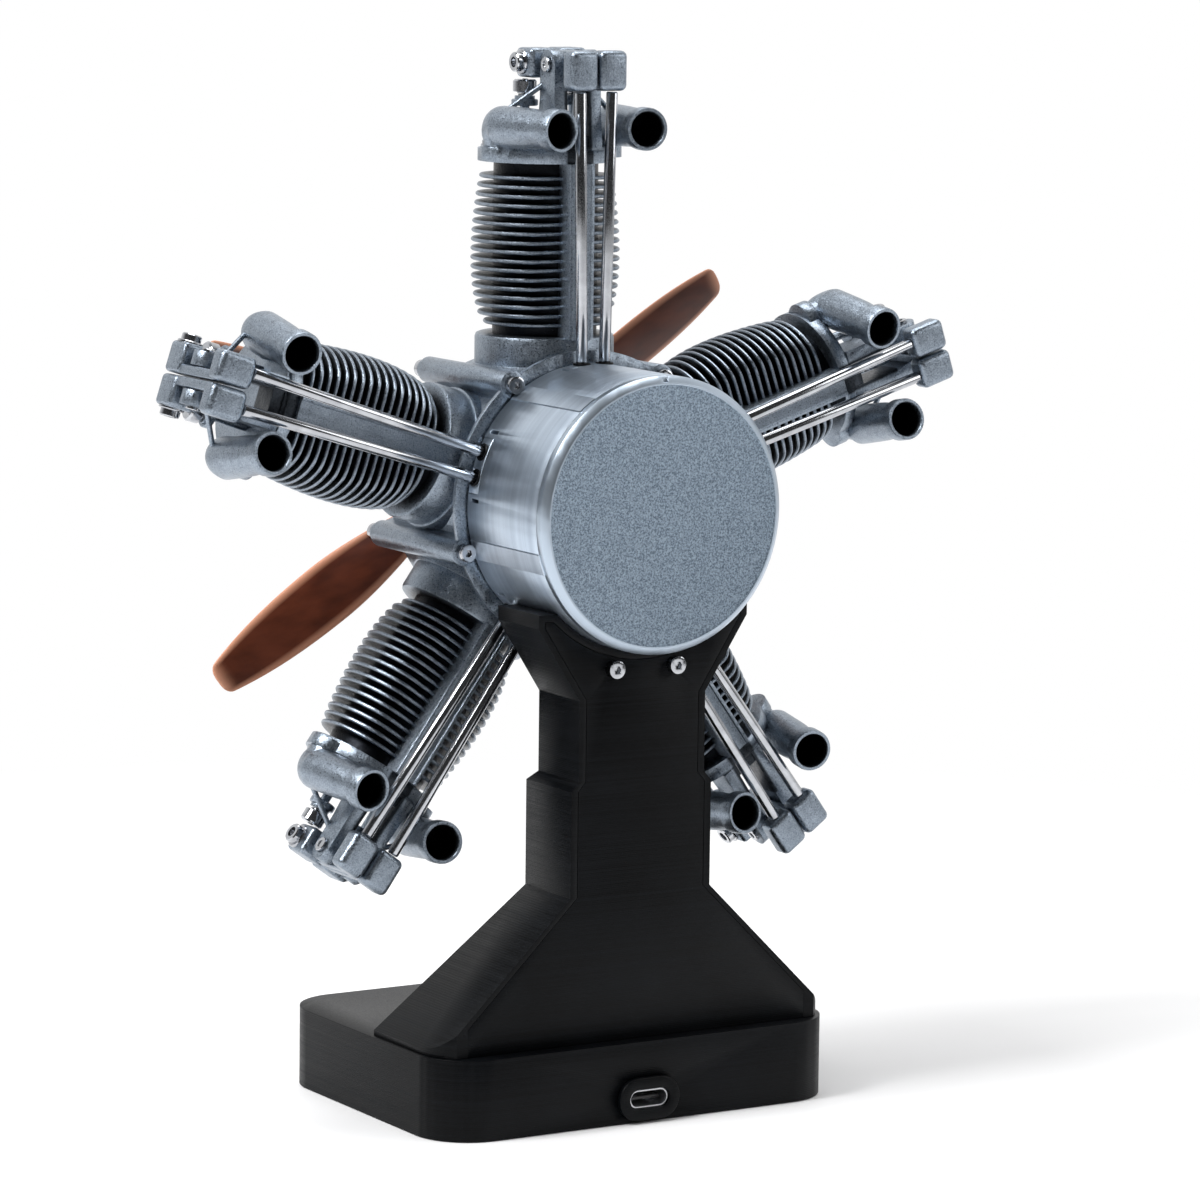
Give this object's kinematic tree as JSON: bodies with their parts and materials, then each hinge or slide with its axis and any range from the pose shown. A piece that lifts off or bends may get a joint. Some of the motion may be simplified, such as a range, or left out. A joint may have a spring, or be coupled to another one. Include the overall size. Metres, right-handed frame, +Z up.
{
  "type": "radial engine",
  "caption": "Air-cooled radial engine display model with finned cylinders, pushrods, rockers, stacked propellers and a rear cam drum, carried on a black desk stand with a power socket.",
  "frame": {"origin": "underside of the base, on the table, below the plane of the cylinders and on the plane of symmetry", "axes": "+Z up, -Y along the crankshaft to the propellers, +Y to the cam drum and the power socket"},
  "size_m": [0.1882, 0.0904, 0.2282],
  "materials": {
    "black_stand": "satin black moulding",
    "circuit_board": "matt",
    "cast_alloy": "fine grained cast finish",
    "brushed_alloy": "brushed",
    "blasted_alloy": "blasted, coarse grain",
    "polished_steel": "polished",
    "machined_steel": "machined",
    "brass_gear": "machined",
    "propeller_wood": "stained and lacquered"
  },
  "bodies": {
    "root": {"base_tray": "black_stand", "base_cover": "black_stand", "stand_column": "black_stand", "column_back_plate": "black_stand", "port_bezel": "black_stand", "usb_board": "circuit_board", "crankcase": "cast_alloy", "nose_cover": "cast_alloy", "cam_drum": "brushed_alloy", "drum_cap": "blasted_alloy", "tappet_guides": "brushed_alloy", "cylinders": "cast_alloy", "heads": "cast_alloy", "port_elbows": "cast_alloy", "rocker_screws": "polished_steel", "socket_screws": "polished_steel", "drive_motor": "machined_steel", "valve_springs": "polished_steel"},
    "crank": {"crankshaft": "machined_steel", "rear_propeller": "propeller_wood", "front_propeller": "propeller_wood", "propeller_nut": "machined_steel"},
    "hub": {"master_hub": "machined_steel"},
    "idler": {"idler_gear": "brass_gear"},
    "cam": {"cam_ring": "machined_steel"},
    "piston_1": {"piston_1": "brushed_alloy"},
    "rocker_1a": {"rocker_1a": "cast_alloy"},
    "pushrod_1a": {"pushrod_1a": "polished_steel"},
    "valve_1a": {"valve_1a": "machined_steel"},
    "rocker_1b": {"rocker_1b": "cast_alloy"},
    "pushrod_1b": {"pushrod_1b": "polished_steel"},
    "valve_1b": {"valve_1b": "machined_steel"},
    "piston_2": {"piston_2": "brushed_alloy"},
    "rocker_2a": {"rocker_2a": "cast_alloy"},
    "pushrod_2a": {"pushrod_2a": "polished_steel"},
    "valve_2a": {"valve_2a": "machined_steel"},
    "rocker_2b": {"rocker_2b": "cast_alloy"},
    "pushrod_2b": {"pushrod_2b": "polished_steel"},
    "valve_2b": {"valve_2b": "machined_steel"},
    "piston_3": {"piston_3": "brushed_alloy"},
    "rocker_3a": {"rocker_3a": "cast_alloy"},
    "pushrod_3a": {"pushrod_3a": "polished_steel"},
    "valve_3a": {"valve_3a": "machined_steel"},
    "rocker_3b": {"rocker_3b": "cast_alloy"},
    "pushrod_3b": {"pushrod_3b": "polished_steel"},
    "valve_3b": {"valve_3b": "machined_steel"},
    "piston_4": {"piston_4": "brushed_alloy"},
    "rocker_4a": {"rocker_4a": "cast_alloy"},
    "pushrod_4a": {"pushrod_4a": "polished_steel"},
    "valve_4a": {"valve_4a": "machined_steel"},
    "rocker_4b": {"rocker_4b": "cast_alloy"},
    "pushrod_4b": {"pushrod_4b": "polished_steel"},
    "valve_4b": {"valve_4b": "machined_steel"},
    "piston_5": {"piston_5": "brushed_alloy"},
    "rocker_5a": {"rocker_5a": "cast_alloy"},
    "pushrod_5a": {"pushrod_5a": "polished_steel"},
    "valve_5a": {"valve_5a": "machined_steel"},
    "rocker_5b": {"rocker_5b": "cast_alloy"},
    "pushrod_5b": {"pushrod_5b": "polished_steel"},
    "valve_5b": {"valve_5b": "machined_steel"}
  },
  "joints": [
    {"name": "crank_spin", "type": "hinge", "parent": "root", "child": "crank", "pos_m": [0, 0, 0.1315], "axis": [0, 1, 0], "continuous": true},
    {"name": "hub_turn", "type": "hinge", "parent": "crank", "child": "hub", "pos_m": [0, 0, 0.1355], "axis": [0, 1, 0], "continuous": true},
    {"name": "idler_spin", "type": "hinge", "parent": "root", "child": "idler", "pos_m": [0.00846, 0.025, 0.14315], "axis": [0, 1, 0], "continuous": true},
    {"name": "cam_spin", "type": "hinge", "parent": "root", "child": "cam", "pos_m": [0, 0.023, 0.1315], "axis": [0, 1, 0], "continuous": true},
    {"name": "piston_1_slide", "type": "slide", "parent": "root", "child": "piston_1", "axis": [0, 0, 1], "range_m": [-0.008, 0]},
    {"name": "rocker_1a_tilt", "type": "hinge", "parent": "root", "child": "rocker_1a", "pos_m": [-0.0061, 0.01, 0.2249], "axis": [1, 0, 0], "range_deg": [0, 8.5]},
    {"name": "pushrod_1a_lift", "type": "slide", "parent": "root", "child": "pushrod_1a", "axis": [-0.0191, 0, 0.9998], "range_m": [0, 0.00144], "stiffness_N_per_m": 40, "springref_m": -0.0016},
    {"name": "valve_1a_press", "type": "slide", "parent": "root", "child": "valve_1a", "axis": [0, 0, -1], "range_m": [0, 0.0014], "deforming": ["valve_springs"]},
    {"name": "rocker_1b_tilt", "type": "hinge", "parent": "root", "child": "rocker_1b", "pos_m": [0.0061, 0.01, 0.2249], "axis": [1, 0, 0], "range_deg": [0, 8.5]},
    {"name": "pushrod_1b_lift", "type": "slide", "parent": "root", "child": "pushrod_1b", "axis": [0.0191, 0, 0.9998], "range_m": [0, 0.00144], "stiffness_N_per_m": 40, "springref_m": -0.0016},
    {"name": "valve_1b_press", "type": "slide", "parent": "root", "child": "valve_1b", "axis": [0, 0, -1], "range_m": [0, 0.0014]},
    {"name": "piston_2_slide", "type": "slide", "parent": "root", "child": "piston_2", "axis": [0.9511, 0, 0.309], "range_m": [-0.00524, 0.00276]},
    {"name": "rocker_2a_tilt", "type": "hinge", "parent": "root", "child": "rocker_2a", "pos_m": [0.08694, 0.01, 0.16616], "axis": [0.309, 0, -0.9511], "range_deg": [0, 8.5]},
    {"name": "pushrod_2a_lift", "type": "slide", "parent": "root", "child": "pushrod_2a", "axis": [0.945, 0, 0.3271], "range_m": [0, 0.00144], "stiffness_N_per_m": 40, "springref_m": -0.0016},
    {"name": "valve_2a_press", "type": "slide", "parent": "root", "child": "valve_2a", "axis": [-0.9511, 0, -0.309], "range_m": [0, 0.0014]},
    {"name": "rocker_2b_tilt", "type": "hinge", "parent": "root", "child": "rocker_2b", "pos_m": [0.09071, 0.01, 0.15456], "axis": [0.309, 0, -0.9511], "range_deg": [0, 8.5]},
    {"name": "pushrod_2b_lift", "type": "slide", "parent": "root", "child": "pushrod_2b", "axis": [0.9568, 0, 0.2908], "range_m": [0, 0.00144], "stiffness_N_per_m": 40, "springref_m": -0.0016},
    {"name": "valve_2b_press", "type": "slide", "parent": "root", "child": "valve_2b", "axis": [-0.9511, 0, -0.309], "range_m": [0, 0.0014]},
    {"name": "piston_3_slide", "type": "slide", "parent": "root", "child": "piston_3", "axis": [0.5878, 0, -0.809], "range_m": [-0.00076, 0.00724]},
    {"name": "rocker_3a_tilt", "type": "hinge", "parent": "root", "child": "rocker_3a", "pos_m": [0.05983, 0.01, 0.05952], "axis": [-0.809, 0, -0.5878], "range_deg": [0, 8.5]},
    {"name": "pushrod_3a_lift", "type": "slide", "parent": "root", "child": "pushrod_3a", "axis": [0.6031, 0, -0.7977], "range_m": [0, 0.00144], "stiffness_N_per_m": 40, "springref_m": -0.0016},
    {"name": "valve_3a_press", "type": "slide", "parent": "root", "child": "valve_3a", "axis": [-0.5878, 0, 0.809], "range_m": [0, 0.0014]},
    {"name": "rocker_3b_tilt", "type": "hinge", "parent": "root", "child": "rocker_3b", "pos_m": [0.04996, 0.01, 0.05235], "axis": [-0.809, 0, -0.5878], "range_deg": [0, 8.5]},
    {"name": "pushrod_3b_lift", "type": "slide", "parent": "root", "child": "pushrod_3b", "axis": [0.5722, 0, -0.8201], "range_m": [0, 0.00144], "stiffness_N_per_m": 40, "springref_m": -0.0016},
    {"name": "valve_3b_press", "type": "slide", "parent": "root", "child": "valve_3b", "axis": [-0.5878, 0, 0.809], "range_m": [0, 0.0014]},
    {"name": "piston_4_slide", "type": "slide", "parent": "root", "child": "piston_4", "axis": [-0.5878, 0, -0.809], "range_m": [-0.00076, 0.00724]},
    {"name": "rocker_4a_tilt", "type": "hinge", "parent": "root", "child": "rocker_4a", "pos_m": [-0.04996, 0.01, 0.05235], "axis": [-0.809, 0, 0.5878], "range_deg": [0, 8.5]},
    {"name": "pushrod_4a_lift", "type": "slide", "parent": "root", "child": "pushrod_4a", "axis": [-0.5722, 0, -0.8201], "range_m": [0, 0.00144], "stiffness_N_per_m": 40, "springref_m": -0.0016},
    {"name": "valve_4a_press", "type": "slide", "parent": "root", "child": "valve_4a", "axis": [0.5878, 0, 0.809], "range_m": [0, 0.0014]},
    {"name": "rocker_4b_tilt", "type": "hinge", "parent": "root", "child": "rocker_4b", "pos_m": [-0.05983, 0.01, 0.05952], "axis": [-0.809, 0, 0.5878], "range_deg": [0, 8.5]},
    {"name": "pushrod_4b_lift", "type": "slide", "parent": "root", "child": "pushrod_4b", "axis": [-0.6031, 0, -0.7977], "range_m": [0, 0.00144], "stiffness_N_per_m": 40, "springref_m": -0.0016},
    {"name": "valve_4b_press", "type": "slide", "parent": "root", "child": "valve_4b", "axis": [0.5878, 0, 0.809], "range_m": [0, 0.0014]},
    {"name": "piston_5_slide", "type": "slide", "parent": "root", "child": "piston_5", "axis": [-0.9511, 0, 0.309], "range_m": [-0.00524, 0.00276]},
    {"name": "rocker_5a_tilt", "type": "hinge", "parent": "root", "child": "rocker_5a", "pos_m": [-0.09071, 0.01, 0.15456], "axis": [0.309, 0, 0.9511], "range_deg": [0, 8.5]},
    {"name": "pushrod_5a_lift", "type": "slide", "parent": "root", "child": "pushrod_5a", "axis": [-0.9568, 0, 0.2908], "range_m": [0, 0.00144], "stiffness_N_per_m": 40, "springref_m": -0.0016},
    {"name": "valve_5a_press", "type": "slide", "parent": "root", "child": "valve_5a", "axis": [0.9511, 0, -0.309], "range_m": [0, 0.0014]},
    {"name": "rocker_5b_tilt", "type": "hinge", "parent": "root", "child": "rocker_5b", "pos_m": [-0.08694, 0.01, 0.16616], "axis": [0.309, 0, 0.9511], "range_deg": [0, 8.5]},
    {"name": "pushrod_5b_lift", "type": "slide", "parent": "root", "child": "pushrod_5b", "axis": [-0.945, 0, 0.3271], "range_m": [0, 0.00144], "stiffness_N_per_m": 40, "springref_m": -0.0016},
    {"name": "valve_5b_press", "type": "slide", "parent": "root", "child": "valve_5b", "axis": [0.9511, 0, -0.309], "range_m": [0, 0.0014]}
  ],
  "couplings": [
    {"joint": "hub_turn", "follows": "crank_spin", "ratio": -1},
    {"joint": "idler_spin", "follows": "crank_spin", "ratio": -1},
    {"joint": "cam_spin", "follows": "crank_spin", "ratio": -0.25},
    {"joint": "rocker_1a_tilt", "follows": "pushrod_1a_lift", "rad_per_m": 96.956},
    {"joint": "valve_1a_press", "follows": "pushrod_1a_lift", "ratio": 0.90169},
    {"joint": "rocker_1b_tilt", "follows": "pushrod_1b_lift", "rad_per_m": 96.956},
    {"joint": "valve_1b_press", "follows": "pushrod_1b_lift", "ratio": 0.90169},
    {"joint": "rocker_2a_tilt", "follows": "pushrod_2a_lift", "rad_per_m": 96.956},
    {"joint": "valve_2a_press", "follows": "pushrod_2a_lift", "ratio": 0.90169},
    {"joint": "rocker_2b_tilt", "follows": "pushrod_2b_lift", "rad_per_m": 96.956},
    {"joint": "valve_2b_press", "follows": "pushrod_2b_lift", "ratio": 0.90169},
    {"joint": "rocker_3a_tilt", "follows": "pushrod_3a_lift", "rad_per_m": 96.956},
    {"joint": "valve_3a_press", "follows": "pushrod_3a_lift", "ratio": 0.90169},
    {"joint": "rocker_3b_tilt", "follows": "pushrod_3b_lift", "rad_per_m": 96.956},
    {"joint": "valve_3b_press", "follows": "pushrod_3b_lift", "ratio": 0.90169},
    {"joint": "rocker_4a_tilt", "follows": "pushrod_4a_lift", "rad_per_m": 96.956},
    {"joint": "valve_4a_press", "follows": "pushrod_4a_lift", "ratio": 0.90169},
    {"joint": "rocker_4b_tilt", "follows": "pushrod_4b_lift", "rad_per_m": 96.956},
    {"joint": "valve_4b_press", "follows": "pushrod_4b_lift", "ratio": 0.90169},
    {"joint": "rocker_5a_tilt", "follows": "pushrod_5a_lift", "rad_per_m": 96.956},
    {"joint": "valve_5a_press", "follows": "pushrod_5a_lift", "ratio": 0.90169},
    {"joint": "rocker_5b_tilt", "follows": "pushrod_5b_lift", "rad_per_m": 96.956},
    {"joint": "valve_5b_press", "follows": "pushrod_5b_lift", "ratio": 0.90169}
  ]
}
